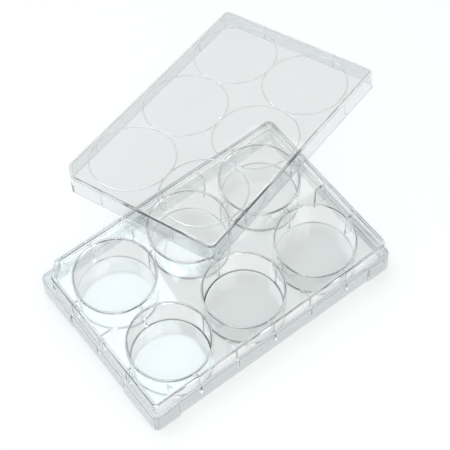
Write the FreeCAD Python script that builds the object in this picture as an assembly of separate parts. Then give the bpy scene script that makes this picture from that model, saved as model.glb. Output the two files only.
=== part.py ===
import FreeCAD, Part

import math
import os

from FreeCAD import Matrix, Placement, Rotation, Vector

# Six-well culture plate with its lid propped against it.  Millimetres, +Z up.
# Origin: middle of the plate's footprint, on the bench that it stands on.
# X runs along the long side, Y along the short side.

# ---- plate: footprint and skirt ------------------------------------------
FOOT_LENGTH = 127.76        # outside length at the bench, the standard footprint
FOOT_WIDTH = 85.48          # outside width at the bench
FOOT_CORNER_R = 3.2         # vertical corner radius of the skirt
PLATE_HEIGHT = 20.0         # bench to the top of the frame
LEDGE_HEIGHT = 11.2         # bench to the ledge that the lid's skirt comes down to
SKIRT_DRAFT = 0.3           # how far the skirt leans in, bench to ledge
SKIRT_WALL = 1.5
LEDGE_THICK = 1.3

# ---- plate: grip recesses in the skirt's outside --------------------------
LONG_RECESS_END = 12.9      # from the plate's end to the recess on a long side
LONG_RECESS_DEPTH = 0.7
SHORT_RECESS_END = 23.9     # from the plate's corner to the recess on a short side
SHORT_RECESS_DEPTH = 0.5

# ---- plate: upper frame and deck -----------------------------------------
LEDGE_STEP = 2.0            # from the skirt's outside to the frame's outside
FRAME_DRAFT = 0.15          # how far the frame's outside leans in, ledge to top
FRAME_WALL = 1.5
FRAME_CORNER_R = 2.4
TRAY_CORNER_R = 0.9         # corner radius inside the frame, above the deck
FRAME_EDGE_R = 0.35         # rounding along the frame's top
KEY_CUT = 6.0               # flat cut of the keyed corner, on the frame and the lid
DECK_HEIGHT = 18.4          # bench to the deck's top face
DECK_THICK = 1.2

# ---- plate: wells ---------------------------------------------------------
COLUMNS = 3
ROWS = 2
WELL_PITCH = 39.12
RIM_HEIGHT = 18.9           # bench to the top of the wells' rims
RIM_OUTER_R = 18.45
WELL_WALL = 0.95
WELL_DRAFT = 0.3            # how far the well's wall leans in, rim to bottom
WELL_FOOT = 2.2             # bench to the underside of the wells
FLOOR_THICK = 1.3
FLOOR_CORNER_R = 0.6        # rounding between a well's floor and its wall
FOOT_EDGE_R = 0.4           # rounding round a well's underside

# ---- plate: ribs under the deck ------------------------------------------
RIB_THICK = 1.0
RIB_FOOT = 4.6              # bench to the lower edge of the ribs
RIB_REACH = 5.3             # how far a short rib stands in from the frame
WEB_FOOT = 2.8              # bench to the lower edge of the webs between wells
RIB_BITE = 0.3              # how far a rib runs into the wall that it joins

# ---- lid ------------------------------------------------------------------
LID_PLAY = 0.7              # between the frame and the inside of the lid's open edge
LID_LIFT = 0.4              # from the ledge to the lid's open edge when it is closed
LID_WALL = 1.0
LID_TOP_THICK = 1.2
LID_DRAFT = 0.3             # how far the lid's skirt leans in, open edge to shoulder
LID_CORNER_R = 2.8
SHOULDER_DROP = 0.5         # the bevel round the lid's top face
SHOULDER_INSET = 1.1
RING_WIDTH = 0.6            # the ridge of each condensation ring
RING_HEIGHT = 0.5
GUIDE_THICK = 0.8           # guide ribs inside the lid's skirt
GUIDE_PLAY = 0.2            # between a guide rib and the frame when the lid is closed
GUIDE_RISE = 1.0            # from the lid's open edge up to a guide rib's lower end
GATE_R = 1.3                # moulding gate mark in the middle of the lid
GATE_DEPTH = 0.25

# ---- how the lid leans on the plate --------------------------------------
LEAN_X = -19.6              # where the lid crosses the frame's far long side
LEAN_Y = 14.3               # where the lid crosses the frame's right short side
LEAN_TURN = 35.1            # degrees between the lid's long side and those two points
LEAN_GAP = 0.05             # clearance at each of the three points that carry the lid

OVERCUT = 1.0               # how far a cutter runs past the face that it opens

# ---- sizes that follow from the ones above -------------------------------
LEDGE_LENGTH = FOOT_LENGTH - 2 * SKIRT_DRAFT
LEDGE_WIDTH = FOOT_WIDTH - 2 * SKIRT_DRAFT
FRAME_LENGTH = LEDGE_LENGTH - 2 * LEDGE_STEP        # outside, at the frame's top
FRAME_WIDTH = LEDGE_WIDTH - 2 * LEDGE_STEP
LID_LENGTH = FRAME_LENGTH + 2 * (LID_PLAY + LID_WALL)       # outside, at the open edge
LID_WIDTH = FRAME_WIDTH + 2 * (LID_PLAY + LID_WALL)
LID_HEIGHT = PLATE_HEIGHT - LEDGE_HEIGHT - LID_LIFT + LID_TOP_THICK


def outline(length, width, corner_r, z, cut=0.0):
    """Closed outline with round corners, and a flat cut at the corner -X +Y."""
    hx, hy, r = length / 2, width / 2, corner_r
    q = r * (1 - math.sqrt(0.5))
    key_x, key_y = (cut, cut) if cut else (r, r)
    key_mid = None if cut else Vector(-hx + q, hy - q, z)
    starts = [Vector(hx, -hy + r, z), Vector(hx - r, hy, z),
              Vector(-hx, hy - key_y, z), Vector(-hx + r, -hy, z)]
    ends = [Vector(hx, hy - r, z), Vector(-hx + key_x, hy, z),
            Vector(-hx, -hy + r, z), Vector(hx - r, -hy, z)]
    mids = [Vector(hx - q, hy - q, z), key_mid,
            Vector(-hx + q, -hy + q, z), Vector(hx - q, -hy + q, z)]
    edges = []
    for side in range(4):
        edges.append(Part.makeLine(starts[side], ends[side]))
        corner_end = starts[(side + 1) % 4]
        if mids[side] is None:
            edges.append(Part.makeLine(ends[side], corner_end))
        else:
            edges.append(Part.Arc(ends[side], mids[side], corner_end).toShape())
    return Part.Wire(edges)


def block(lower, upper):
    """Solid between two outlines at different heights."""
    return Part.makeLoft([lower, upper], True, True)


def bar(x0, x1, y0, y1, z0, z1):
    """Box between two corners."""
    corner = Vector(min(x0, x1), min(y0, y1), z0)
    return Part.makeBox(abs(x1 - x0), abs(y1 - y0), z1 - z0, corner)


def well_centres():
    """Centres of the wells, row by row."""
    for row in range(ROWS):
        for column in range(COLUMNS):
            x = (column - (COLUMNS - 1) / 2) * WELL_PITCH
            y = (row - (ROWS - 1) / 2) * WELL_PITCH
            yield x, y


def arc(start, centre, end):
    """Quarter-round edge from start to end in the plane y = 0."""
    r = (start - centre).Length
    middle = (start + end) / 2 - centre
    return Part.Arc(start, centre + middle.normalize() * r, end).toShape()


def well_section(solid):
    """Half section of a well: its outer form, or the hollow that is cut from it."""
    slope = WELL_DRAFT / (RIM_HEIGHT - WELL_FOOT)
    foot_r = RIM_OUTER_R - WELL_DRAFT
    floor = WELL_FOOT + FLOOR_THICK
    half_wall = WELL_WALL / 2
    if solid:
        e = FOOT_EDGE_R
        rim_r = RIM_OUTER_R - half_wall
        shoulder = Vector(RIM_OUTER_R, 0, RIM_HEIGHT - half_wall)
        crown = Vector(rim_r, 0, RIM_HEIGHT)
        side = Vector(foot_r + slope * e, 0, WELL_FOOT + e)
        toe = Vector(foot_r - e, 0, WELL_FOOT)
        axis_low = Vector(0, 0, WELL_FOOT)
        axis_high = Vector(0, 0, RIM_HEIGHT)
        edges = [Part.makeLine(axis_low, toe),
                 arc(toe, Vector(foot_r - e, 0, WELL_FOOT + e), side),
                 Part.makeLine(side, shoulder),
                 arc(shoulder, Vector(rim_r, 0, RIM_HEIGHT - half_wall), crown),
                 Part.makeLine(crown, axis_high),
                 Part.makeLine(axis_high, axis_low)]
    else:
        e = FLOOR_CORNER_R
        floor_r = foot_r - WELL_WALL + slope * FLOOR_THICK
        inner_top = RIM_OUTER_R - WELL_WALL
        lip = Vector(inner_top, 0, RIM_HEIGHT - half_wall)
        crown = Vector(inner_top + half_wall, 0, RIM_HEIGHT)
        above = Vector(inner_top + half_wall, 0, RIM_HEIGHT + OVERCUT)
        side = Vector(floor_r + slope * e, 0, floor + e)
        toe = Vector(floor_r - e, 0, floor)
        axis_low = Vector(0, 0, floor)
        axis_high = Vector(0, 0, RIM_HEIGHT + OVERCUT)
        edges = [Part.makeLine(axis_low, toe),
                 arc(toe, Vector(floor_r - e, 0, floor + e), side),
                 Part.makeLine(side, lip),
                 arc(lip, Vector(inner_top + half_wall, 0, RIM_HEIGHT - half_wall), crown),
                 Part.makeLine(crown, above),
                 Part.makeLine(above, axis_high),
                 Part.makeLine(axis_high, axis_low)]
    return Part.Face(Part.Wire(edges))


def well_form(solid):
    """A well's outer form or its hollow, about the Z axis."""
    return well_section(solid).revolve(Vector(0, 0, 0), Vector(0, 0, 1), 360)


def skirt_block():
    """The lower tier, bench to ledge, with the grip recesses in its outside."""
    tier = block(outline(FOOT_LENGTH, FOOT_WIDTH, FOOT_CORNER_R, 0),
                 outline(LEDGE_LENGTH, LEDGE_WIDTH, FOOT_CORNER_R, LEDGE_HEIGHT))
    long_half = FOOT_LENGTH / 2 - LONG_RECESS_END
    short_half = FOOT_WIDTH / 2 - SHORT_RECESS_END
    recesses = []
    for side in (-1, 1):
        edge_y = side * FOOT_WIDTH / 2
        edge_x = side * FOOT_LENGTH / 2
        recesses.append(bar(-long_half, long_half,
                            edge_y - side * LONG_RECESS_DEPTH, edge_y + side * OVERCUT,
                            -OVERCUT, LEDGE_HEIGHT + OVERCUT))
        recesses.append(bar(edge_x - side * SHORT_RECESS_DEPTH, edge_x + side * OVERCUT,
                            -short_half, short_half,
                            -OVERCUT, LEDGE_HEIGHT + OVERCUT))
    return tier.cut(recesses)


def frame_block():
    """The upper tier, ledge to top, with the keyed corner and a rounded top edge."""
    low = LEDGE_HEIGHT - LEDGE_THICK / 2
    draft = FRAME_DRAFT * (PLATE_HEIGHT - low) / (PLATE_HEIGHT - LEDGE_HEIGHT)
    tier = block(outline(FRAME_LENGTH + 2 * draft, FRAME_WIDTH + 2 * draft,
                         FRAME_CORNER_R, low, KEY_CUT),
                 outline(FRAME_LENGTH, FRAME_WIDTH, FRAME_CORNER_R, PLATE_HEIGHT, KEY_CUT))
    length = FRAME_LENGTH - 2 * FRAME_WALL
    width = FRAME_WIDTH - 2 * FRAME_WALL
    tray = block(outline(length, width, TRAY_CORNER_R, DECK_HEIGHT, KEY_CUT),
                 outline(length, width, TRAY_CORNER_R, PLATE_HEIGHT + OVERCUT, KEY_CUT))
    tier = tier.cut(tray)
    top_edges = [edge for edge in tier.Edges
                 if abs(edge.BoundBox.ZMin - PLATE_HEIGHT) < 1e-6
                 and abs(edge.BoundBox.ZMax - PLATE_HEIGHT) < 1e-6]
    return tier.makeFillet(FRAME_EDGE_R, top_edges)


def underside_hollow():
    """The hollow below the deck and the ledge, open at the bench."""
    low = block(outline(FOOT_LENGTH - 2 * SKIRT_WALL, FOOT_WIDTH - 2 * SKIRT_WALL,
                        FOOT_CORNER_R - SKIRT_WALL, -OVERCUT),
                outline(LEDGE_LENGTH - 2 * SKIRT_WALL, LEDGE_WIDTH - 2 * SKIRT_WALL,
                        FOOT_CORNER_R - SKIRT_WALL, LEDGE_HEIGHT - LEDGE_THICK))
    length = FRAME_LENGTH - 2 * FRAME_WALL
    width = FRAME_WIDTH - 2 * FRAME_WALL
    high = block(outline(length + 2 * FRAME_DRAFT, width + 2 * FRAME_DRAFT,
                         FRAME_CORNER_R, LEDGE_HEIGHT - LEDGE_THICK - OVERCUT, KEY_CUT),
                 outline(length, width, FRAME_CORNER_R, DECK_HEIGHT - DECK_THICK, KEY_CUT))
    return low.fuse(high)


def side_ribs():
    """Ribs from the frame and the skirt inwards: short ones, and ones to the wells."""
    top = DECK_HEIGHT - DECK_THICK / 2
    half = RIB_THICK / 2
    step_top = LEDGE_HEIGHT - LEDGE_THICK / 2
    ribs = []

    def along_y(x, side, inner):
        frame = side * (FRAME_WIDTH / 2 - FRAME_WALL + RIB_BITE)
        skirt = side * (LEDGE_WIDTH / 2 - SKIRT_WALL + RIB_BITE)
        ribs.append(bar(x - half, x + half, inner, frame, RIB_FOOT, top))
        ribs.append(bar(x - half, x + half, inner, skirt, RIB_FOOT, step_top))

    def along_x(y, side, inner):
        frame = side * (FRAME_LENGTH / 2 - FRAME_WALL + RIB_BITE)
        skirt = side * (LEDGE_LENGTH / 2 - SKIRT_WALL + RIB_BITE)
        ribs.append(bar(inner, frame, y - half, y + half, RIB_FOOT, top))
        ribs.append(bar(inner, skirt, y - half, y + half, RIB_FOOT, step_top))

    wall_middle = RIM_OUTER_R - WELL_WALL / 2
    last_x = (COLUMNS - 1) / 2 * WELL_PITCH
    last_y = (ROWS - 1) / 2 * WELL_PITCH
    for side in (-1, 1):
        for column in range(COLUMNS):
            x = column * WELL_PITCH - last_x
            along_y(x, side, side * (last_y + wall_middle - WELL_DRAFT))
            if column:
                along_y(x - WELL_PITCH / 2, side, side * (FRAME_WIDTH / 2 - FRAME_WALL - RIB_REACH))
        for row in range(ROWS):
            y = row * WELL_PITCH - last_y
            along_x(y, side, side * (last_x + wall_middle - WELL_DRAFT))
            if row:
                along_x(y - WELL_PITCH / 2, side,
                        side * (FRAME_LENGTH / 2 - FRAME_WALL - RIB_REACH))
    return ribs


def well_webs():
    """Webs that join neighbouring wells where they come closest."""
    top = DECK_HEIGHT - DECK_THICK / 2
    half = RIB_THICK / 2
    reach = WELL_PITCH / 2 - (RIM_OUTER_R - WELL_WALL / 2 - WELL_DRAFT)
    centres = list(well_centres())
    webs = []
    for x, y in centres:
        middle = x + WELL_PITCH / 2
        if (x + WELL_PITCH, y) in centres:
            webs.append(bar(middle - reach, middle + reach, y - half, y + half, WEB_FOOT, top))
        middle = y + WELL_PITCH / 2
        if (x, y + WELL_PITCH) in centres:
            webs.append(bar(x - half, x + half, middle - reach, middle + reach, WEB_FOOT, top))
    return webs


def make_plate():
    """The whole plate, moulded as one piece."""
    wells = []
    hollows = []
    for x, y in well_centres():
        for form, forms in ((True, wells), (False, hollows)):
            shape = well_form(form)
            shape.translate(Vector(x, y, 0))
            forms.append(shape)
    body = skirt_block().fuse(frame_block())
    body = body.cut(underside_hollow())
    body = body.fuse(side_ribs() + well_webs() + wells)
    return body.cut(hollows).removeSplitter()


def lid_shell():
    """The lid's top and skirt, its top face at z = 0 and its open edge below."""
    shoulder_length = LID_LENGTH - 2 * LID_DRAFT
    shoulder_width = LID_WIDTH - 2 * LID_DRAFT
    skirt = block(outline(LID_LENGTH, LID_WIDTH, LID_CORNER_R, -LID_HEIGHT, KEY_CUT),
                  outline(shoulder_length, shoulder_width, LID_CORNER_R, -SHOULDER_DROP, KEY_CUT))
    bevel = block(outline(shoulder_length, shoulder_width, LID_CORNER_R, -SHOULDER_DROP, KEY_CUT),
                  outline(shoulder_length - 2 * SHOULDER_INSET,
                          shoulder_width - 2 * SHOULDER_INSET, LID_CORNER_R, 0, KEY_CUT))
    inside_r = LID_CORNER_R - LID_WALL
    hollow = block(outline(LID_LENGTH - 2 * LID_WALL, LID_WIDTH - 2 * LID_WALL,
                           inside_r, -LID_HEIGHT - OVERCUT, KEY_CUT),
                   outline(shoulder_length - 2 * LID_WALL, shoulder_width - 2 * LID_WALL,
                           inside_r, -LID_TOP_THICK, KEY_CUT))
    return skirt.fuse(bevel).cut(hollow)


def lid_rings():
    """Condensation rings under the lid's top, one over each well, each meeting the next."""
    rings = []
    depth = LID_TOP_THICK + RING_HEIGHT
    for x, y in well_centres():
        base = Vector(x, y, -depth)
        height = depth - LID_TOP_THICK / 2
        outer = Part.makeCylinder((WELL_PITCH + RING_WIDTH) / 2, height, base)
        inner = Part.makeCylinder((WELL_PITCH - RING_WIDTH) / 2, height, base)
        rings.append(outer.cut(inner))
    return rings


def lid_guides():
    """Small upright ribs inside the lid's skirt that centre it on the frame."""
    low = -LID_HEIGHT + GUIDE_RISE
    high = -LID_TOP_THICK / 2
    half = GUIDE_THICK / 2
    last_x = (COLUMNS - 1) / 2 * WELL_PITCH
    last_y = (ROWS - 1) / 2 * WELL_PITCH
    guides = []
    for side in (-1, 1):
        inner_y = side * (FRAME_WIDTH / 2 + GUIDE_PLAY)
        inner_x = side * (FRAME_LENGTH / 2 + GUIDE_PLAY)
        wall_y = side * (LID_WIDTH / 2 - LID_WALL + RIB_BITE)
        wall_x = side * (LID_LENGTH / 2 - LID_WALL + RIB_BITE)
        for x in (-last_x, last_x):
            guides.append(bar(x - half, x + half, inner_y, wall_y, low, high))
        for y in (-last_y, last_y):
            guides.append(bar(inner_x, wall_x, y - half, y + half, low, high))
    return guides


def leaning_placement():
    """Where the lid comes to rest: on two sides of the frame and on the bench.

    Its open edge is a plane through three points.  Two lie on the frame's top
    edge, so the line between them is level, and the lid tips about that line
    until its far corner is down on the bench.
    """
    first = Vector(LEAN_X, FRAME_WIDTH / 2, PLATE_HEIGHT + LEAN_GAP)
    second = Vector(FRAME_LENGTH / 2, LEAN_Y, PLATE_HEIGHT + LEAN_GAP)
    level = second - first
    span = level.Length
    level.normalize()
    outward = Vector(-level.y, level.x, 0)

    turn = math.radians(LEAN_TURN)
    inner_x = LID_LENGTH / 2 - LID_WALL
    inner_y = LID_WIDTH / 2 - LID_WALL
    first_y = -inner_y + span * math.sin(turn)
    corner_x = LID_LENGTH / 2 - LID_CORNER_R
    corner_y = LID_WIDTH / 2 - LID_CORNER_R
    reach = (corner_x + inner_x) * math.sin(turn) + (corner_y - first_y) * math.cos(turn)
    tip = math.asin(PLATE_HEIGHT / (reach + LID_CORNER_R))

    downhill = outward * math.cos(tip) - Vector(0, 0, math.sin(tip))
    along = level * math.cos(turn) + downhill * math.sin(turn)
    across = downhill * math.cos(turn) - level * math.sin(turn)
    up = along.cross(across)
    edge_middle = first + along * inner_x - across * first_y
    top_middle = edge_middle + up * LID_HEIGHT
    axes = Matrix(along.x, across.x, up.x, 0,
                  along.y, across.y, up.y, 0,
                  along.z, across.z, up.z, 0,
                  0, 0, 0, 1)
    return Placement(top_middle, Rotation(axes))


def make_lid():
    """The lid, moulded as one piece, leaning against the plate."""
    lid = lid_shell().fuse(lid_rings() + lid_guides())
    gate = Part.makeCylinder(GATE_R, GATE_DEPTH + OVERCUT, Vector(0, 0, -GATE_DEPTH))
    lid = lid.cut(gate).removeSplitter()
    lid.Placement = leaning_placement()
    return lid


os.makedirs("parts", exist_ok=True)
for name, make in (("plate", make_plate), ("lid", make_lid)):
    shape = make()
    shape.exportStep("parts/" + name + ".step")
    print(name, shape.isValid(), len(shape.Solids), "solid", round(shape.Volume), "mm3")
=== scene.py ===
import math

import bmesh
import bpy
from mathutils import Matrix, Vector


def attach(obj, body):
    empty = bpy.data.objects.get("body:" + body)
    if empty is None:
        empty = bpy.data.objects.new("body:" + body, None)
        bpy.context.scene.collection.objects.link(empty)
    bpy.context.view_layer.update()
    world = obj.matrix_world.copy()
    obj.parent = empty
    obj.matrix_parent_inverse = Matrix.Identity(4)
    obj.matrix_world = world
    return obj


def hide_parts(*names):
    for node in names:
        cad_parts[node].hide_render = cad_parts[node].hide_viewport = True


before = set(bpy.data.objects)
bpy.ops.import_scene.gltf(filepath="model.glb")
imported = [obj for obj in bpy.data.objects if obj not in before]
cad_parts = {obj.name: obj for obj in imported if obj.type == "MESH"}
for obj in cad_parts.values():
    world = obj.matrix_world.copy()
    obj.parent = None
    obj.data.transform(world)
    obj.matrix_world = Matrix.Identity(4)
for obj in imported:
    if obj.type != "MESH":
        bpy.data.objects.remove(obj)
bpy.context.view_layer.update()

# Six-well culture plate with its lid leaning on it, in clear polystyrene.
# Sizes and meshes are in millimetres until a finished piece is brought to metres;
# the finishes, the lamps and the camera are in metres.
MM = 0.001

# ---- sizes of the plate ---------------------------------------------------
FOOT_LENGTH = 127.76        # outside length at the bench
FOOT_WIDTH = 85.48          # outside width at the bench
FOOT_CORNER_R = 3.2
FOOT_CHAMFER = 0.15         # small break along the skirt's lower edge
PLATE_HEIGHT = 20.0         # bench to the top of the frame
LEDGE_HEIGHT = 11.2         # bench to the ledge round the frame
LEDGE_THICK = 1.3
LEDGE_STEP = 2.0            # from the skirt's outside to the frame's outside
SKIRT_DRAFT = 0.3           # how far the skirt leans in, bench to ledge
SKIRT_WALL = 1.5
SKIRT_EDGE_R = 0.4          # rounding along the ledge's outer edge
LONG_RECESS_END = 12.9      # from the plate's end to the grip recess on a long side
LONG_RECESS_DEPTH = 0.7
SHORT_RECESS_END = 23.9     # from the plate's corner to the recess on a short side
SHORT_RECESS_DEPTH = 0.5
RECESS_RUNOUT = 1.2         # length over which a recess fades in at each end
FRAME_DRAFT = 0.15          # how far the frame's outside leans in, ledge to top
FRAME_WALL = 1.5
FRAME_CORNER_R = 2.4
FRAME_EDGE_R = 0.35         # rounding along the frame's top and its foot
TRAY_CORNER_R = 0.9         # corner radius inside the frame
KEY_CUT = 6.0               # flat cut of the keyed corner, on the frame and the lid
DECK_HEIGHT = 18.4          # bench to the deck's top face
DECK_THICK = 1.2

# ---- sizes of the wells, ribs and letters ---------------------------------
COLUMNS = 3
ROWS = 2
WELL_PITCH = 39.12
RIM_HEIGHT = 18.9           # bench to the top of the wells' rims
RIM_OUTER_R = 18.45
WELL_WALL = 0.95
WELL_DRAFT = 0.3            # how far a well's wall leans in, rim to bottom
WELL_FOOT = 2.2             # bench to the underside of the wells
FLOOR_THICK = 1.3
FLOOR_CORNER_R = 0.6        # rounding between a well's floor and its wall
FOOT_EDGE_R = 0.4           # rounding round a well's underside
RIB_THICK = 1.0
RIB_FOOT = 4.6              # bench to the lower edge of the ribs
RIB_REACH = 5.3             # how far a short rib stands in from the frame
RIB_BITE = 0.3              # how far a rib runs into the wall that it joins
WEB_FOOT = 2.8              # bench to the lower edge of the webs between wells
LETTER_SIZE = 4.1           # gives capitals 2.9 high
LETTER_RISE = 0.12          # above the deck
LETTER_BITE = 0.4           # into the deck
ROW_LETTERS = (("A", -52.9, -37.6), ("B", -54.6, 33.4))     # start of each one's base line

# ---- sizes of the lid -----------------------------------------------------
LID_PLAY = 0.7              # between the frame and the inside of the lid's open edge
LID_LIFT = 0.4              # from the ledge to the lid's open edge when it is closed
LID_WALL = 1.0
LID_TOP_THICK = 1.2
LID_DRAFT = 0.3             # how far the lid's skirt leans in, open edge to shoulder
LID_CORNER_R = 2.8
LID_CORNER_FILL = 0.35      # round between the lid's top and its skirt, inside
RIM_ROUND = 0.15            # rounding of the lid's open edge
SHOULDER_DROP = 0.5         # step round the lid's top face
SHOULDER_INSET = 1.1
SHOULDER_ROUND = 0.2        # outer edge of the shoulder
STEP_FILLET = ((0.16, 0.02), (0.08, 0.08))      # out from the riser, up from the shoulder
RISER_FOOT = 0.05           # from this far above the shoulder, corners keep one radius
TOP_CHAMFER = 0.06          # small break round the lid's top face
RING_WIDTH = 0.6            # the ridge of each condensation ring
RING_HEIGHT = 0.5
RING_BITE = 0.3             # how far a ring runs into the lid's top
GUIDE_THICK = 0.8           # guide ribs inside the lid's skirt
GUIDE_PLAY = 0.2            # between a guide rib and the frame when the lid is closed
GUIDE_RISE = 1.0            # from the lid's open edge up to a guide rib's lower end
GATE_R = 1.3                # dished moulding gate mark in the middle of the lid
GATE_DEPTH = 0.25
GATE_DISH = ((0.55, 1.0), (0.8, 0.7))           # shares of its radius and of its depth
GATE_LIP = 0.02             # how far the dish runs on above the top face
LEAN_X = -19.6              # where the lid crosses the frame's far long side
LEAN_Y = 14.3               # where the lid crosses the frame's right short side
LEAN_TURN = 35.1            # degrees between the lid's long side and those two points
LEAN_GAP = 0.05             # clearance at each of the three points that carry the lid

# ---- fineness of the meshes -----------------------------------------------
ROUND_STEPS = 224           # sides of a well or a ring
CORNER_STEPS = 10           # sides of an upright corner
EDGE_STEPS = 4              # sides of a small rounded edge
RUNOUT_STEPS = 6            # steps of a grip recess's fade
RIB_END_STEPS = 8           # sides of a short rib's round end
RING_TURN = 30              # degrees between the points of a ring's round lower side
GATE_STEPS = 48             # sides of the gate mark
LETTER_STEPS = 6            # fineness of a letter's curves
OVERCUT = 1.0               # how far a cutter runs past the face that it opens
WELD = 1e-5                 # points closer than this become one
LETTER_WELD = 1e-4
SHARP_ANGLE = 32.0          # degrees; an edge that turns more stays sharp

# ---- sizes that follow ----------------------------------------------------
LEDGE_LENGTH = FOOT_LENGTH - 2 * SKIRT_DRAFT
LEDGE_WIDTH = FOOT_WIDTH - 2 * SKIRT_DRAFT
FRAME_LENGTH = LEDGE_LENGTH - 2 * LEDGE_STEP
FRAME_WIDTH = LEDGE_WIDTH - 2 * LEDGE_STEP
LID_LENGTH = FRAME_LENGTH + 2 * (LID_PLAY + LID_WALL)
LID_WIDTH = FRAME_WIDTH + 2 * (LID_PLAY + LID_WALL)
LID_HEIGHT = PLATE_HEIGHT - LEDGE_HEIGHT - LID_LIFT + LID_TOP_THICK
FLOOR_HEIGHT = WELL_FOOT + FLOOR_THICK
RIB_TOP = DECK_HEIGHT - DECK_THICK / 2
RIB_STEP = LEDGE_HEIGHT - LEDGE_THICK / 2       # a rib reaches the skirt below this height
LAST_X = (COLUMNS - 1) / 2 * WELL_PITCH         # from the plate's middle to the outer wells
LAST_Y = (ROWS - 1) / 2 * WELL_PITCH


# ---- outlines and meshes --------------------------------------------------
def corner_points(x, y, sx, sy, radius, cut):
    """Points round one corner of an outline, anticlockwise, as a round or as a flat cut."""
    start = math.atan2(sy, sx) - math.pi / 4
    along_x = Vector((x - sx * cut, y))
    along_y = Vector((x, y - sy * cut))
    first, last = (along_y, along_x) if sx * sy > 0 else (along_x, along_y)
    points = []
    for step in range(CORNER_STEPS + 1):
        share = step / CORNER_STEPS
        if cut:
            points.append(first.lerp(last, share))
        else:
            angle = start + share * math.pi / 2
            points.append(Vector((x - sx * radius + radius * math.cos(angle),
                                  y - sy * radius + radius * math.sin(angle))))
    return points


def side_points(half_recess, depth):
    """Places along one side, with how far the side is recessed at each."""
    places = []
    for end in (-1, 1):
        for step in range(RUNOUT_STEPS + 1):
            share = step / RUNOUT_STEPS
            fade = share * share * (3 - 2 * share)
            along = end * half_recess + (share - 0.5) * RECESS_RUNOUT
            places.append((along, depth * (fade if end < 0 else 1 - fade)))
    return places


def outline(length, width, radius, cut=0.0, recessed=False):
    """One level of a moulding seen from above, anticlockwise, with the keyed corner -X +Y."""
    hx = length / 2
    hy = width / 2
    long_depth = LONG_RECESS_DEPTH if recessed else 0.0
    short_depth = SHORT_RECESS_DEPTH if recessed else 0.0
    long_side = side_points(FOOT_LENGTH / 2 - LONG_RECESS_END, long_depth)
    short_side = side_points(FOOT_WIDTH / 2 - SHORT_RECESS_END, short_depth)
    points = [Vector((along, -hy + depth)) for along, depth in long_side]
    points += corner_points(hx, -hy, 1, -1, radius, 0)
    points += [Vector((hx - depth, along)) for along, depth in short_side]
    points += corner_points(hx, hy, 1, 1, radius, 0)
    points += [Vector((-along, hy - depth)) for along, depth in long_side]
    points += corner_points(-hx, hy, -1, 1, radius, cut)
    points += [Vector((-hx + depth, -along)) for along, depth in short_side]
    points += corner_points(-hx, -hy, -1, -1, radius, 0)
    return points


def quarter(centre, height, radius, start, end):
    """Points of a small round as (distance, height), with its angles in degrees."""
    points = []
    for step in range(EDGE_STEPS + 1):
        angle = math.radians(start + (end - start) * step / EDGE_STEPS)
        points.append((centre + radius * math.cos(angle), height + radius * math.sin(angle)))
    return points


def stack(levels):
    """Closed mesh through a stack of outlines given as (points, height)."""
    bm = bmesh.new()
    rows = [[bm.verts.new((p.x, p.y, z)) for p in points] for points, z in levels]
    count = len(rows[0])
    for low, high in zip(rows, rows[1:]):
        for i in range(count):
            j = (i + 1) % count
            bm.faces.new((low[i], low[j], high[j], high[i]))
    bm.faces.new(list(reversed(rows[0])))
    bm.faces.new(rows[-1])
    return bm


def lathe(profile, centre=(0, 0), steps=ROUND_STEPS):
    """Closed mesh turned from a profile of (radius, height), lowest point first."""
    levels = []
    for radius, z in profile:
        ring = [Vector((centre[0] + radius * math.cos(2 * math.pi * i / steps),
                        centre[1] + radius * math.sin(2 * math.pi * i / steps)))
                for i in range(steps)]
        levels.append((ring, z))
    return stack(levels)


def join(parts):
    """One bmesh from several."""
    whole = bmesh.new()
    for part in parts:
        mesh = bpy.data.meshes.new("part")
        part.to_mesh(mesh)
        part.free()
        whole.from_mesh(mesh)
        bpy.data.meshes.remove(mesh)
    return whole


def as_object(name, bm):
    """An object in the scene from a bmesh, with its doubled points merged."""
    mesh = bpy.data.meshes.new(name)
    bmesh.ops.remove_doubles(bm, verts=bm.verts, dist=WELD)
    bm.to_mesh(mesh)
    bm.free()
    obj = bpy.data.objects.new(name, mesh)
    bpy.context.scene.collection.objects.link(obj)
    return obj


def modified_mesh(obj):
    """A new mesh with the object's modifiers applied."""
    graph = bpy.context.evaluated_depsgraph_get()
    return bpy.data.meshes.new_from_object(obj.evaluated_get(graph))


def carve(body, operation, parts):
    """Join parts to a body or cut them from it."""
    tool = as_object("tool", join(parts))
    change = body.modifiers.new("change", "BOOLEAN")
    change.operation = operation
    change.solver = "MANIFOLD"
    change.object = tool
    result = modified_mesh(body)
    body.modifiers.clear()
    old = body.data
    body.data = result
    bpy.data.meshes.remove(old)
    bpy.data.objects.remove(tool)


def polish(obj, name):
    """Bring a finished mesh to metres, with smooth rounds and true flats."""
    obj.name = name
    obj.data.name = name
    obj.data.transform(Matrix.Scale(MM, 4))
    for face in obj.data.polygons:
        face.use_smooth = True
    obj.data.set_sharp_from_angle(angle=math.radians(SHARP_ANGLE))
    obj.modifiers.new("normals", "WEIGHTED_NORMAL").keep_sharp = True
    result = modified_mesh(obj)
    obj.modifiers.clear()
    obj.data = result
    return obj


# ---- the plate ------------------------------------------------------------
def well_centres():
    """Centres of the wells, row by row."""
    for row in range(ROWS):
        for column in range(COLUMNS):
            yield ((column - (COLUMNS - 1) / 2) * WELL_PITCH,
                   (row - (ROWS - 1) / 2) * WELL_PITCH)


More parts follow.
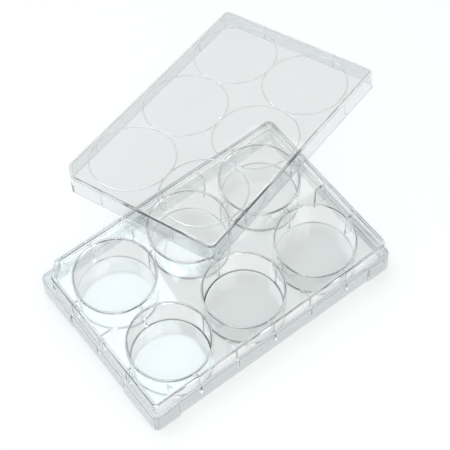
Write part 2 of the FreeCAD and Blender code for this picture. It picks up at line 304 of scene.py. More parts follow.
def well_forms():
    """Profiles of a well's outside and of the hollow inside it."""
    slope = WELL_DRAFT / (RIM_HEIGHT - WELL_FOOT)
    foot_r = RIM_OUTER_R - WELL_DRAFT
    floor_r = foot_r - WELL_WALL + slope * FLOOR_THICK
    half = WELL_WALL / 2
    outside = quarter(foot_r - FOOT_EDGE_R, WELL_FOOT + FOOT_EDGE_R, FOOT_EDGE_R, -90, 0)
    outside += quarter(RIM_OUTER_R - half, RIM_HEIGHT - half, half, 0, 90)
    inside = quarter(floor_r - FLOOR_CORNER_R, FLOOR_HEIGHT + FLOOR_CORNER_R,
                     FLOOR_CORNER_R, -90, 0)
    inside += quarter(RIM_OUTER_R - half, RIM_HEIGHT - half, half, 180, 90)
    inside.append((RIM_OUTER_R - half, RIM_HEIGHT + OVERCUT))
    return outside, inside


def shell_levels():
    """The plate's skirt, ledge, frame and deck, as one skin from underside to deck."""
    def skirt(inset, z):
        draft = SKIRT_DRAFT * z / LEDGE_HEIGHT + inset
        return outline(FOOT_LENGTH - 2 * draft, FOOT_WIDTH - 2 * draft,
                       FOOT_CORNER_R - inset, 0, True), z

    def upper(inset, z):
        lean = FRAME_DRAFT * (PLATE_HEIGHT - z) / (PLATE_HEIGHT - LEDGE_HEIGHT)
        radius = max(FRAME_CORNER_R - inset, TRAY_CORNER_R)
        return outline(FRAME_LENGTH + 2 * (lean - inset), FRAME_WIDTH + 2 * (lean - inset),
                       radius, KEY_CUT), z

    levels = [upper(FRAME_WALL, DECK_HEIGHT - DECK_THICK),
              upper(FRAME_WALL, LEDGE_HEIGHT - LEDGE_THICK),
              skirt(SKIRT_WALL, LEDGE_HEIGHT - LEDGE_THICK),
              skirt(SKIRT_WALL, FOOT_CHAMFER),
              skirt(SKIRT_WALL - FOOT_CHAMFER, 0),
              skirt(FOOT_CHAMFER, 0),
              skirt(0, FOOT_CHAMFER)]
    for out, z in quarter(0, LEDGE_HEIGHT - SKIRT_EDGE_R, SKIRT_EDGE_R, 0, 90):
        levels.append(skirt(SKIRT_EDGE_R - out, z))
    for out, z in quarter(0, LEDGE_HEIGHT + FRAME_EDGE_R, FRAME_EDGE_R, -90, 0):
        levels.append(upper(out - FRAME_EDGE_R, z))
    for out, z in quarter(0, PLATE_HEIGHT - FRAME_EDGE_R, FRAME_EDGE_R, 0, 90):
        levels.append(upper(FRAME_EDGE_R - out, z))
    for out, z in quarter(0, PLATE_HEIGHT - FRAME_EDGE_R, FRAME_EDGE_R, 90, 180):
        levels.append(upper(FRAME_WALL - FRAME_EDGE_R - out, z))
    levels.append(upper(FRAME_WALL, DECK_HEIGHT))
    return levels


def anticlockwise(levels):
    """The same levels, each one anticlockwise, so that a stack's faces look outwards."""
    first = levels[0][0]
    area = sum(a.x * b.y - b.x * a.y for a, b in zip(first, first[1:] + first[:1]))
    if area < 0:
        return [(list(reversed(points)), z) for points, z in levels]
    return levels


def blade(inner, frame_end, skirt_end, place, along_x, foot, round_end):
    """A rib under the deck; one with a skirt end is stepped out to it below the ledge."""
    half = RIB_THICK / 2
    sign = 1 if frame_end > inner else -1
    if skirt_end is None:
        heights = [(foot, frame_end), (RIB_TOP, frame_end)]
    else:
        heights = [(foot, skirt_end), (RIB_STEP, skirt_end),
                   (RIB_STEP, frame_end), (RIB_TOP, frame_end)]
    levels = []
    for z, outer in heights:
        plan = [(outer, half), (outer, -half)]
        if round_end:
            for step in range(RIB_END_STEPS + 1):
                angle = math.pi * step / RIB_END_STEPS
                plan.append((inner - sign * half * (math.sin(angle) - 1),
                             -half * math.cos(angle)))
        else:
            plan += [(inner, -half), (inner, half)]
        points = [Vector((a, place + b)) if along_x else Vector((place + b, a))
                  for a, b in plan]
        levels.append((points, z))
    return stack(anticlockwise(levels))


def side_ribs():
    """Ribs from the frame and the skirt inwards: short ones, and ones to the wells."""
    middle_r = RIM_OUTER_R - WELL_WALL / 2 - WELL_DRAFT
    ribs = []
    for side in (-1, 1):
        frame_y = side * (FRAME_WIDTH / 2 - FRAME_WALL + RIB_BITE)
        skirt_y = side * (LEDGE_WIDTH / 2 - SKIRT_WALL + RIB_BITE)
        frame_x = side * (FRAME_LENGTH / 2 - FRAME_WALL + RIB_BITE)
        skirt_x = side * (LEDGE_LENGTH / 2 - SKIRT_WALL + RIB_BITE)
        short_y = side * (FRAME_WIDTH / 2 - FRAME_WALL - RIB_REACH)
        short_x = side * (FRAME_LENGTH / 2 - FRAME_WALL - RIB_REACH)
        well_y = side * (LAST_Y + middle_r)
        well_x = side * (LAST_X + middle_r)
        for column in range(COLUMNS):
            x = column * WELL_PITCH - LAST_X
            between = x - WELL_PITCH / 2
            ribs.append(blade(well_y, frame_y, skirt_y, x, False, RIB_FOOT, False))
            if column:
                ribs.append(blade(short_y, frame_y, skirt_y, between, False, RIB_FOOT, True))
        for row in range(ROWS):
            y = row * WELL_PITCH - LAST_Y
            between = y - WELL_PITCH / 2
            ribs.append(blade(well_x, frame_x, skirt_x, y, True, RIB_FOOT, False))
            if row:
                ribs.append(blade(short_x, frame_x, skirt_x, between, True, RIB_FOOT, True))
    return ribs


def well_webs():
    """Webs that join neighbouring wells where they come closest."""
    reach = WELL_PITCH / 2 - (RIM_OUTER_R - WELL_WALL / 2 - WELL_DRAFT)
    webs = []
    for x, y in well_centres():
        next_x = x + WELL_PITCH / 2
        next_y = y + WELL_PITCH / 2
        if next_x < LAST_X:
            webs.append(blade(next_x - reach, next_x + reach, None, y, True, WEB_FOOT, False))
        if next_y < LAST_Y:
            webs.append(blade(next_y - reach, next_y + reach, None, x, False, WEB_FOOT, False))
    return webs


def row_letter(letter, x, y):
    """A low raised capital on the deck beside its row of wells."""
    text = bpy.data.curves.new("letter", "FONT")
    text.body = letter
    text.size = LETTER_SIZE
    text.extrude = (LETTER_RISE + LETTER_BITE) / 2
    text.resolution_u = LETTER_STEPS
    shape = bpy.data.objects.new("letter", text)
    bpy.context.scene.collection.objects.link(shape)
    bpy.context.view_layer.update()
    mesh = bpy.data.meshes.new_from_object(shape)
    height = DECK_HEIGHT + (LETTER_RISE - LETTER_BITE) / 2
    mesh.transform(Matrix.Translation((x, y, height)))
    bm = bmesh.new()
    bm.from_mesh(mesh)
    bmesh.ops.remove_doubles(bm, verts=bm.verts, dist=LETTER_WELD)
    bpy.data.objects.remove(shape)
    bpy.data.curves.remove(text)
    bpy.data.meshes.remove(mesh)
    return bm


# Each face's place in its piece's list of finishes.  Faces not named here stay at 0, the
# body of the plastic.
# Faces marked below take painted shade: grey and dark lines where the plastic turns light
# aside.
DARK_CORNER_SHADE = 1
FRAME_EDGE = 2
LETTER_FACE = 3
PALE_CORNER_SHADE = 4
LID_EDGE = 1


def mark_well_corner(face):
    """Mark the middle of the round between a well's floor and its wall, for a painted dark
    line.
    """
    skip_low = 0.06         # the round's lowest and highest parts stay with the body
    skip_high = 0.1
    least_slope = 0.1
    play = 0.2
    middle = face.center
    from_well = min(math.hypot(middle.x - x, middle.y - y) for x, y in well_centres())
    inside = from_well < RIM_OUTER_R - WELL_DRAFT - WELL_WALL + play
    in_height = FLOOR_HEIGHT + skip_low < middle.z < FLOOR_HEIGHT + FLOOR_CORNER_R - skip_high
    if inside and in_height and face.normal.z > least_slope:
        # The two near wells on the left get the darker painted shade.
        darker_shade = middle.y < 0 and middle.x < WELL_PITCH / 2
        face.material_index = DARK_CORNER_SHADE if darker_shade else PALE_CORNER_SHADE


def mark_letter(face):
    """Mark the top of a raised letter, for its painted grey shade."""
    tolerance = 0.01
    level = 0.9
    above = face.center.z - DECK_HEIGHT - LETTER_RISE
    if -tolerance < above < tolerance and face.normal.z > level:
        face.material_index = LETTER_FACE


def mark_frame_edge(face):
    """Mark the outer round along the frame's top, for a painted dark line."""
    upper_share = 0.55
    level = 0.98
    reach_in = 0.5
    middle = face.center
    beyond = max(abs(middle.x) - FRAME_LENGTH / 2, abs(middle.y) - FRAME_WIDTH / 2)
    high = middle.z > PLATE_HEIGHT - FRAME_EDGE_R * upper_share
    if high and face.normal.z < level and beyond > -reach_in:
        face.material_index = FRAME_EDGE


def make_plate():
    """The whole plate, moulded as one piece."""
    outside, inside = well_forms()
    plate = as_object("plate_body", stack(shell_levels()))
    carve(plate, "UNION", [lathe(outside, centre) for centre in well_centres()])
    carve(plate, "UNION", side_ribs() + well_webs())
    carve(plate, "DIFFERENCE", [lathe(inside, centre) for centre in well_centres()])
    carve(plate, "UNION", [row_letter(letter, x, y) for letter, x, y in ROW_LETTERS])
    for face in plate.data.polygons:
        mark_well_corner(face)
        mark_letter(face)
        mark_frame_edge(face)
    return polish(plate, "clear_plate")


# ---- the lid --------------------------------------------------------------
def lid_levels():
    """The lid's top and skirt, top face at z = 0, as one skin from inside to outside."""
    def tier(inset, z):
        lean = LID_DRAFT * (1 + z / (LID_HEIGHT - SHOULDER_DROP))
        draft = max(0.0, lean) + inset
        on_riser = z > -SHOULDER_DROP + RISER_FOOT
        radius = LID_CORNER_R if on_riser else LID_CORNER_R - inset
        return outline(LID_LENGTH - 2 * draft, LID_WIDTH - 2 * draft, radius, KEY_CUT), z

    levels = []
    for out, z in quarter(0, -LID_TOP_THICK - LID_CORNER_FILL, LID_CORNER_FILL, 90, 180):
        levels.append(tier(LID_WALL + LID_CORNER_FILL + out, z))
    for out, z in quarter(0, -LID_HEIGHT + RIM_ROUND, RIM_ROUND, 180, 270):
        levels.append(tier(LID_WALL - RIM_ROUND - out, z))
    for out, z in quarter(0, -LID_HEIGHT + RIM_ROUND, RIM_ROUND, 270, 360):
        levels.append(tier(RIM_ROUND - out, z))
    for out, z in quarter(0, -SHOULDER_DROP - SHOULDER_ROUND, SHOULDER_ROUND, 0, 90):
        levels.append(tier(SHOULDER_ROUND - out, z))
    for out, rise in STEP_FILLET:
        levels.append(tier(SHOULDER_INSET - out, -SHOULDER_DROP + rise))
    levels.append(tier(SHOULDER_INSET, -TOP_CHAMFER))
    levels.append(tier(SHOULDER_INSET + TOP_CHAMFER, 0))
    return levels


def lid_ring(centre):
    """A low ridge under the lid's top over one well, round on its lower side."""
    half = RING_WIDTH / 2
    low = -LID_TOP_THICK - RING_HEIGHT + half
    section = [(half, -LID_TOP_THICK + RING_BITE), (-half, -LID_TOP_THICK + RING_BITE)]
    for turn in range(180, 360 + 1, RING_TURN):
        angle = math.radians(turn)
        section.append((half * math.cos(angle), low + half * math.sin(angle)))
    bm = bmesh.new()
    rows = []
    for i in range(ROUND_STEPS):
        angle = 2 * math.pi * i / ROUND_STEPS
        rows.append([bm.verts.new((centre[0] + (WELL_PITCH / 2 + r) * math.cos(angle),
                                   centre[1] + (WELL_PITCH / 2 + r) * math.sin(angle), z))
                     for r, z in section])
    for one, two in zip(rows, rows[1:] + rows[:1]):
        for k in range(len(section)):
            m = (k + 1) % len(section)
            bm.faces.new((one[k], one[m], two[m], two[k]))
    bmesh.ops.recalc_face_normals(bm, faces=bm.faces)
    return bm


def lid_guides():
    """Small upright ribs inside the lid's skirt that centre it on the frame."""
    low = -LID_HEIGHT + GUIDE_RISE
    high = -LID_TOP_THICK / 2
    half = GUIDE_THICK / 2
    guides = []
    for side in (-1, 1):
        inner_y = side * (FRAME_WIDTH / 2 + GUIDE_PLAY)
        inner_x = side * (FRAME_LENGTH / 2 + GUIDE_PLAY)
        wall_y = side * (LID_WIDTH / 2 - LID_WALL + RIB_BITE)
        wall_x = side * (LID_LENGTH / 2 - LID_WALL + RIB_BITE)
        spots = [(x - half, x + half, inner_y, wall_y) for x in (-LAST_X, LAST_X)]
        spots += [(inner_x, wall_x, y - half, y + half) for y in (-LAST_Y, LAST_Y)]
        for x0, x1, y0, y1 in spots:
            x0, x1 = sorted((x0, x1))
            y0, y1 = sorted((y0, y1))
            plan = [Vector((x0, y0)), Vector((x1, y0)), Vector((x1, y1)), Vector((x0, y1))]
            guides.append(stack([(plan, low), (plan, high)]))
    return guides


def leaning_matrix():
    """Where the lid comes to rest: on two sides of the frame and on the bench."""
    first = Vector((LEAN_X, FRAME_WIDTH / 2, PLATE_HEIGHT + LEAN_GAP))
    second = Vector((FRAME_LENGTH / 2, LEAN_Y, PLATE_HEIGHT + LEAN_GAP))
    span = (second - first).length
    level = (second - first).normalized()
    outward = Vector((-level.y, level.x, 0))
    turn = math.radians(LEAN_TURN)
    inner_x = LID_LENGTH / 2 - LID_WALL
    inner_y = LID_WIDTH / 2 - LID_WALL
    first_y = -inner_y + span * math.sin(turn)
    corner_x = LID_LENGTH / 2 - LID_CORNER_R
    corner_y = LID_WIDTH / 2 - LID_CORNER_R
    reach = (corner_x + inner_x) * math.sin(turn) + (corner_y - first_y) * math.cos(turn)
    tip = math.asin(PLATE_HEIGHT / (reach + LID_CORNER_R))
    downhill = outward * math.cos(tip) - Vector((0, 0, math.sin(tip)))
    along = level * math.cos(turn) + downhill * math.sin(turn)
    across = downhill * math.cos(turn) - level * math.sin(turn)
    up = along.cross(across)
    top_middle = first + along * inner_x - across * first_y + up * LID_HEIGHT
    return Matrix.Translation(top_middle) @ Matrix((along, across, up)).transposed().to_4x4()


def mark_lid_edge(face):
    """Mark the riser of the lid's step and the round between its top and its skirt, for a
    painted grey line.
    """
    skip_low = 0.04         # the riser's foot and top stay with the body
    skip_high = 0.03
    steep = 0.7
    below_top = 0.02
    least_slope = 0.15
    level = 0.98
    reach_in = 2.2
    middle = face.center
    slope = abs(face.normal.z)
    beyond = max(abs(middle.x) - LID_LENGTH / 2, abs(middle.y) - LID_WIDTH / 2)
    on_riser = -SHOULDER_DROP + skip_low < middle.z < -skip_high and slope < steep
    in_height = -LID_TOP_THICK - LID_CORNER_FILL < middle.z < -LID_TOP_THICK - below_top
    in_corner = in_height and least_slope < slope < level and beyond > -reach_in
    four_sided = len(face.vertices) == 4
    if on_riser or (in_corner and four_sided):
        face.material_index = LID_EDGE


def make_lid():
    """The lid, moulded as one piece, leaning against the plate."""
    lid = as_object("lid_body", stack(lid_levels()))
    rings = [lid_ring(centre) for centre in well_centres()]
    carve(lid, "UNION", rings[0::2])
    carve(lid, "UNION", rings[1::2])
    carve(lid, "UNION", lid_guides())
    for face in lid.data.polygons:
        mark_lid_edge(face)
    gate = [(GATE_R * out, -GATE_DEPTH * down) for out, down in GATE_DISH]
    gate += [(GATE_R, GATE_LIP), (GATE_R, OVERCUT)]
    carve(lid, "DIFFERENCE", [lathe(gate, steps=GATE_STEPS)])
    lid.data.transform(leaning_matrix())
    return polish(lid, "clear_lid")


# ---- writing a material ---------------------------------------------------
class Wire:
    """A value in a material, on which ordinary arithmetic adds Math nodes."""

    def __init__(self, sheet, socket):
        self.sheet = sheet
        self.socket = socket

    def math(self, operation, *values):
        """One Math node; the values are this one and what it is worked out with."""
        return self.sheet.node("ShaderNodeMath", {"operation": operation},
                               dict(enumerate(values)))

    def __add__(self, other):
        return self.math("ADD", self, other)

    def __radd__(self, other):
        return self.math("ADD", other, self)

    def __sub__(self, other):
        return self.math("SUBTRACT", self, other)

    def __rsub__(self, other):
        return self.math("SUBTRACT", other, self)

    def __mul__(self, other):
        return self.math("MULTIPLY", self, other)

    def __rmul__(self, other):
        return self.math("MULTIPLY", other, self)

    def __gt__(self, other):
        return self.math("GREATER_THAN", self, other)

    def __lt__(self, other):
        return self.math("LESS_THAN", self, other)

    def __abs__(self):
        return self.math("ABSOLUTE", self)

    def larger(self, other):
        return self.math("MAXIMUM", self, other)


class Sheet:
    """A material or a world being written."""

    def __init__(self, owner):
        owner.use_nodes = True
        self.tree = owner.node_tree
        self.tree.nodes.clear()

    def node(self, kind, settings=None, values=None, out=0):
        """Add a node: its settings first, then values or links for its sockets."""
        made = self.tree.nodes.new(kind)
        for key, value in (settings or {}).items():
            if key == "stops":
                elements = made.color_ramp.elements
                for count, (place, colour) in enumerate(value):
                    stop = elements[count] if count < 2 else elements.new(place)
                    stop.position = place
                    stop.color = colour
            else:
                setattr(made, key, value)
        for key, value in (values or {}).items():
            socket = made.inputs[key]
            if isinstance(value, Wire):
                self.tree.links.new(value.socket, socket)
            else:
                socket.default_value = value
        return Wire(self, made.outputs[out]) if made.outputs else made

    def part(self, vector, axis):
        """One of a vector's X, Y and Z."""
        return self.node("ShaderNodeSeparateXYZ", None, {"Vector": vector}, out=axis)

    def ray(self, kind):
        """What Light Path says about the ray that is being followed."""
        return self.node("ShaderNodeLightPath", out=kind)

    def mixed_colour(self, share, first, second):
        """From the first colour to the second; a colour Mix node has them at 6 and 7."""
        return self.node("ShaderNodeMix", {"data_type": "RGBA"},
                         {0: share, 6: first, 7: second}, out=2)

    def mixed_shader(self, share, first, second):
        """From the first shader to the second."""
        return self.node("ShaderNodeMixShader", None, {0: share, 1: first, 2: second})

    def passing(self, colour):
        """Lets light straight through, tinted."""
        return self.node("ShaderNodeBsdfTransparent", None, {"Color": colour})


# ---- finishes -------------------------------------------------------------
IOR = 1.59                  # polystyrene
MOST_TURNS = 2.5            # mirrorings after which a ray goes straight on
FRAME_BAND = -0.0017        # metres out from the frame's outside: from here to SKIRT_BAND
SKIRT_BAND = 0.0004         # is the frame's wall, and beyond that the ledge and skirt
PROUD_BAND = 0.0019         # beyond this the skirt's outside, where it isn't recessed
FOOT_BAND = 0.0055          # height up to which the foot's painted shade goes
FLAT_SHARE = 0.35           # how much of the skirt's painted shade its level faces take
POLISH = 0.012              # roughness of the cleanest places
WEAR = 0.02                 # what the haze adds to it
FINE_SHARE = 0.04           # how deep the finest marks are beside the moulding's flow
EDGE_SHINE = 0.1            # how much of an edge mirrors, and doesn't pass light on


def clear_polystyrene(name, dull, bright, wall, scratches, flat_shade, wall_shade, spent_tint,
                      skirt=None):
    """Glass-clear polystyrene off a polished mould.

    The tint goes from dull to bright in a faint haze, and to wall where a face is upright.
    flat_shade and wall_shade tint the light that falls through it on to other things.  A
    ray that has been mirrored more than MOST_TURNS times goes straight on with spent_tint.
    skirt holds painted shade: darker tints on the skirt, and darker spent tints near the foot
    and on the frame.
    """
    material = bpy.data.materials.new(name)
    sheet = Sheet(material)
    place = sheet.node("ShaderNodeTexCoord", out="Object")
    facing = sheet.node("ShaderNodeTexCoord", out="Normal")
    upright = 1.0 - abs(sheet.part(facing, "Z"))
    haze = sheet.node("ShaderNodeTexNoise", None,
                      {"Vector": place, "Scale": 60.0, "Detail": 3.0, "Roughness": 0.5})
    flow = sheet.node("ShaderNodeTexNoise", None,
                      {"Vector": place, "Scale": 14.0, "Detail": 1.5, "Distortion": 0.8})
    fine = sheet.node("ShaderNodeTexNoise", None,
                      {"Vector": place, "Scale": 900.0, "Detail": 2.0})
    tint = sheet.mixed_colour(haze, dull, bright)
    tint = sheet.mixed_colour(upright, tint, wall)
    through = sheet.mixed_shader(upright, sheet.passing(flat_shade), sheet.passing(wall_shade))
    spent = sheet.passing(spent_tint)
    # Painted shade: the skirt is tinted darker, the ledge and the recesses most, and spent rays
    # near the foot and on the frame go on darker.
    if skirt:
        past_long = abs(sheet.part(place, "X")) - 0.5 * MM * FRAME_LENGTH
        past_short = abs(sheet.part(place, "Y")) - 0.5 * MM * FRAME_WIDTH
        beyond = past_long.larger(past_short)
        on_skirt = beyond > SKIRT_BAND
        on_frame = (beyond > FRAME_BAND) * (1.0 - on_skirt)
        near_foot = sheet.part(place, "Z") < FOOT_BAND
        skirt_painted_shade = sheet.mixed_colour(beyond > PROUD_BAND, skirt["inner"], skirt["proud_painted_shade"])
        tint = sheet.mixed_colour(on_skirt * (FLAT_SHARE + (1.0 - FLAT_SHARE) * upright),
                                  tint, skirt_painted_shade)
        through = sheet.mixed_shader(on_skirt, through, sheet.passing(skirt["shade"]))
        spent = sheet.mixed_shader(near_foot, spent, sheet.passing(skirt["foot_spent_painted_shade"]))
        spent = sheet.mixed_shader(on_frame, spent, sheet.passing(skirt["frame_spent_painted_shade"]))
    bump = sheet.node("ShaderNodeBump", None,
                      {"Strength": 0.02, "Distance": 0.0002,
                       "Height": flow + FINE_SHARE * fine})
    plastic = sheet.node("ShaderNodeBsdfPrincipled", None,
                         {"Base Color": tint, "Roughness": POLISH + WEAR * scratches * haze,
                          "IOR": IOR, "Transmission Weight": 1.0, "Normal": bump})
    plastic = sheet.mixed_shader(sheet.ray("Glossy Depth") > MOST_TURNS, plastic, spent)
    lighting = sheet.ray("Is Shadow Ray").larger(sheet.ray("Is Diffuse Ray"))
    surface = sheet.mixed_shader(lighting, plastic, through)
    sheet.node("ShaderNodeOutputMaterial", None, {"Surface": surface})
    return material


def painted_edge_shade(name, deep, pale):
    """Painted shade for a small edge that turns light aside: grey tints, so that it reads as a
    broken grey line.
    """
    material = bpy.data.materials.new(name)
    sheet = Sheet(material)
    place = sheet.node("ShaderNodeTexCoord", out="Object")
    patch = sheet.node("ShaderNodeTexNoise", None,
                       {"Vector": place, "Scale": 90.0, "Detail": 1.0, "Roughness": 0.4})
    share = sheet.node("ShaderNodeMapRange", None,
                       {"Value": patch, "From Min": 0.42, "From Max": 0.58})
    pass_on = sheet.mixed_shader(share, sheet.passing(deep), sheet.passing(pale))
    skin = sheet.node("ShaderNodeBsdfPrincipled", None,
                      {"Base Color": sheet.mixed_colour(share, deep, pale),
                       "Roughness": 0.15, "IOR": IOR})
    seen = 1.0 - sheet.ray("Is Shadow Ray").larger(sheet.ray("Is Diffuse Ray"))
    surface = sheet.mixed_shader(EDGE_SHINE * seen, pass_on, skin)
    sheet.node("ShaderNodeOutputMaterial", None, {"Surface": surface})
    return material


plate_plastic = clear_polystyrene(
    "clear_polystyrene_plate",
    dull=(0.94, 0.96, 0.952, 1),
    bright=(0.965, 0.982, 0.976, 1),
    wall=(0.985, 0.99, 0.988, 1),
    scratches=1.0,
    flat_shade=(0.85, 0.86, 0.857, 1),
    wall_shade=(0.93, 0.94, 0.936, 1),
    spent_tint=(0.90, 0.91, 0.91, 1),
    # The skirt's tints and its foot and frame spent tints are painted shade.
    skirt={"inner": (0.50, 0.535, 0.54, 1),
           "proud_painted_shade": (0.80, 0.83, 0.83, 1),
           "shade": (0.82, 0.84, 0.84, 1),
           "foot_spent_painted_shade": (0.6, 0.61, 0.61, 1),
           "frame_spent_painted_shade": (0.52, 0.54, 0.54, 1)})
# The lid's grey tints are painted shade over a faint tint of the plastic's own: they darken
# what is seen through the lid as a shadow under it would.
lid_plastic = clear_polystyrene(
    "clear_polystyrene_lid",
    dull=(0.825, 0.835, 0.835, 1),
    bright=(0.87, 0.87, 0.86, 1),
    wall=(0.85, 0.87, 0.88, 1),
    scratches=1.5,
    flat_shade=(0.97, 0.975, 0.972, 1),
    wall_shade=(0.98, 0.985, 0.982, 1),
    spent_tint=(0.97, 0.975, 0.975, 1))
# Painted shade: grey and dark lines on the lid's step, the wells' corners, the letters and the
# frame's top edge.
lid_edge_shade = painted_edge_shade("clear_polystyrene_lid_edge",
                        deep=(0.42, 0.43, 0.43, 1), pale=(0.70, 0.71, 0.71, 1))
dark_corner_shade = painted_edge_shade("clear_polystyrene_sharp_corner",
                            deep=(0.05, 0.055, 0.055, 1), pale=(0.45, 0.46, 0.46, 1))
pale_corner_shade = painted_edge_shade("clear_polystyrene_soft_corner",
                           deep=(0.62, 0.63, 0.63, 1), pale=(0.90, 0.91, 0.91, 1))
letter_shade = painted_edge_shade("clear_polystyrene_letter",
                           deep=(0.80, 0.81, 0.81, 1), pale=(0.88, 0.89, 0.89, 1))
frame_edge_shade = painted_edge_shade("clear_polystyrene_frame_edge",
                          deep=(0.05, 0.055, 0.055, 1), pale=(0.75, 0.76, 0.76, 1))

# ---- the pieces -----------------------------------------------------------
# The finishes are listed in the order of the faces' marks.
plate_finishes = [plate_plastic, dark_corner_shade, frame_edge_shade, letter_shade, pale_corner_shade]
lid_finishes = [lid_plastic, lid_edge_shade]
plate = make_plate()
lid = make_lid()
for piece, node, finishes in ((plate, "plate", plate_finishes), (lid, "lid", lid_finishes)):
    slots = piece.data.materials
    while len(slots) < len(finishes):
        slots.append(None)
    for spot, finish in enumerate(finishes):
        slots[spot] = finish
    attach(piece, "root")
    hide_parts(node)


# ---- the bench and the room -----------------------------------------------
BENCH_REACH = 60000.0       # from the middle of the bench to each of its sides
GLOW_NEAR = 0.4             # metres from the plate at which the bench's glow starts to rise
GLOW_FAR = 2.0
HORIZON = -0.005            # as the height of a direction, where level is 0 and up is 1
BACKDROP_FULL = 0.10        # the backdrop is whole below this height
BACKDROP_END = 0.35         # and gone above this one
WHITE = (1, 1, 1, 1)


def in_view(sheet):
    """One for rays that show the background, directly or by way of the plastic."""
    direct = sheet.ray("Is Camera Ray")
    mirrored = sheet.ray("Is Glossy Ray")
    bent = sheet.ray("Is Transmission Ray")
    return direct.larger(mirrored).larger(bent)


def bench_material():
    """A matt white bench, which also glows for rays that show it."""
    material = bpy.data.materials.new("white_bench")
    sheet = Sheet(material)
    place = sheet.node("ShaderNodeTexCoord", out="Object")
    reach = sheet.node("ShaderNodeVectorMath", {"operation": "LENGTH"}, {0: place}, out="Value")
    far = sheet.node("ShaderNodeMapRange", None,
                     {"Value": reach, "From Min": GLOW_NEAR, "From Max": GLOW_FAR})
    matt = sheet.node("ShaderNodeBsdfDiffuse", None, {"Color": (0.8, 0.8, 0.8, 1)})
    near_glow = sheet.node("ShaderNodeEmission", None, {"Color": WHITE, "Strength": 0.30})
    far_glow = sheet.node("ShaderNodeEmission", None, {"Color": WHITE, "Strength": 0.60})
    glow = sheet.mixed_shader(far, near_glow, far_glow)
    both = sheet.node("ShaderNodeAddShader", None, {0: matt, 1: glow})
    surface = sheet.mixed_shader(in_view(sheet), matt, both)
    sheet.node("ShaderNodeOutputMaterial", None, {"Surface": surface})
    return material


bench_bm = bmesh.new()
bmesh.ops.create_grid(bench_bm, x_segments=1, y_segments=1, size=BENCH_REACH)
bench = as_object("bench", bench_bm)
bench.data.transform(Matrix.Scale(MM, 4))
bench.data.materials.append(bench_material())

# The room is grey above and lighter below.  Low down a white backdrop stands in it, which
# shows directly and in the plastic but lights nothing matt.
world = bpy.data.worlds.new("studio")
bpy.context.scene.world = world
sky = Sheet(world)
direction = sky.node("ShaderNodeTexCoord", out="Generated")
height = sky.part(direction, "Z")
tone = sky.node("ShaderNodeValToRGB", {"stops": [(0.0, (0.9, 0.9, 0.9, 1)),
                                                 (0.50, (0.28, 0.28, 0.28, 1)),
                                                 (0.66, (0.32, 0.32, 0.32, 1)),
                                                 (0.97, (0.34, 0.34, 0.34, 1))]},
                {"Fac": height * 0.5 + 0.5})
room = sky.node("ShaderNodeBackground", None, {"Color": tone, "Strength": 1.0})
backdrop = sky.node("ShaderNodeBackground", None, {"Color": WHITE, "Strength": 0.8})
low = sky.node("ShaderNodeMapRange", None,
               {"Value": height, "From Min": BACKDROP_END, "From Max": BACKDROP_FULL})
standing = low * (height > HORIZON) * in_view(sky)
sky.node("ShaderNodeOutputWorld", None,
         {"Surface": sky.mixed_shader(standing, room, backdrop)})


# ---- lamps ----------------------------------------------------------------
CEILING = 1.0               # height of the boxes that hang level


def soft_light(name, place, aim, size, power, turn=0.0, mirrored=True, colour=(1, 1, 1)):
    """A rectangular soft box; turn is about its own axis, in degrees."""
    lamp = bpy.data.lights.new(name, "AREA")
    lamp.shape = "RECTANGLE"
    lamp.size = size[0]
    lamp.size_y = size[1]
    lamp.energy = power
    lamp.color = colour
    box = bpy.data.objects.new(name, lamp)
    bpy.context.scene.collection.objects.link(box)
    aimed = (Vector(aim) - Vector(place)).to_track_quat("-Z", "Y").to_matrix().to_4x4()
    turned = Matrix.Rotation(math.radians(turn), 4, "Z")
    box.matrix_world = Matrix.Translation(place) @ aimed @ turned
    box.visible_glossy = mirrored
    box.visible_transmission = mirrored


def ceiling_light(name, x, y, size, power, turn=0.0, colour=(1, 1, 1)):
    """A soft box that hangs level over a place on the bench."""
    soft_light(name, (x, y, CEILING), (x, y, 0), size, power, turn=turn, colour=colour)


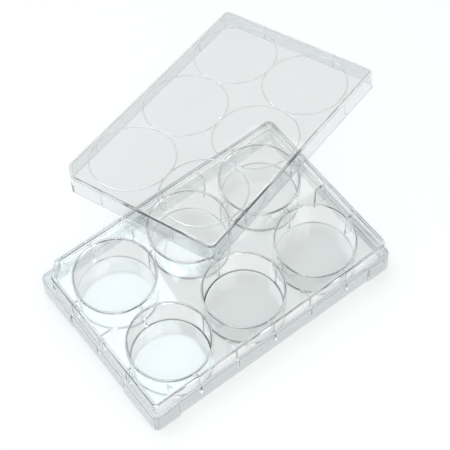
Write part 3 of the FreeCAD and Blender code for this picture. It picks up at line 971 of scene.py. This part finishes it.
# The level boxes hang where the plastic mirrors them: the large one in the left of the
# plate, the small ones in its right and in the lid where that crosses the plate.
ceiling_light("overhead_box", x=-0.136, y=0.45, size=(0.74, 0.6), power=3.8, turn=-8,
              colour=(0.78, 0.91, 1.0))
soft_light("front_box", place=(0.06, -0.50, 0.87), aim=(0, 0, 0.02), size=(0.36, 0.36),
           power=1.2)
soft_light("far_panel", place=(0.50, 0.87, 0.68), aim=(0.04, 0.05, 0.02), size=(0.9, 0.6),
           power=0.7)
ceiling_light("back_panel", x=0.4225, y=0.52, size=(0.155, 0.16), power=0.11,
              colour=(1.0, 0.98, 0.96))
ceiling_light("lid_panel", x=0.668, y=1.154, size=(0.347, 0.216), power=0.26, turn=11)
ceiling_light("side_panel", x=0.278, y=0.48, size=(0.06, 0.07), power=0.045,
              colour=(0.84, 0.94, 1.0))
soft_light("key_box", place=(-0.33, -0.45, 0.97), aim=(0, 0, 0), size=(0.3, 0.3), power=3.5,
           mirrored=False, colour=(1.0, 0.97, 0.93))


# ---- camera ---------------------------------------------------------------
# It looks down at the near long side from the left.
AZIMUTH = math.radians(-35.723)
ELEVATION = math.radians(59.995)
ROLL = math.radians(-1.972)
DISTANCE = 0.593975
AIM = Vector((0.0, 0.0, 0.018858))
OFFSET = (0.003987, 0.013575)   # how far the camera is moved to the right and up
SENSOR_WIDTH = 36.0             # millimetres, as the focal length is
FOCAL_LENGTH = 111.044
NEAREST = 0.05
FARTHEST = 20.0

back = Vector((math.sin(AZIMUTH) * math.cos(ELEVATION),
               -math.cos(AZIMUTH) * math.cos(ELEVATION),
               math.sin(ELEVATION)))
level_right = Vector((math.cos(AZIMUTH), math.sin(AZIMUTH), 0))
level_up = back.cross(level_right)
right = level_right * math.cos(ROLL) + level_up * math.sin(ROLL)
up = level_up * math.cos(ROLL) - level_right * math.sin(ROLL)
lens = bpy.data.cameras.new("studio_camera")
lens.sensor_width = SENSOR_WIDTH
lens.lens = FOCAL_LENGTH
lens.clip_start = NEAREST
lens.clip_end = FARTHEST
camera = bpy.data.objects.new("studio_camera", lens)
bpy.context.scene.collection.objects.link(camera)
stand = AIM + right * OFFSET[0] + up * OFFSET[1] + back * DISTANCE
camera.matrix_world = (Matrix.Translation(stand)
                       @ Matrix((right, up, back)).transposed().to_4x4())
bpy.context.scene.camera = camera
bpy.context.scene.view_settings.view_transform = "Standard"
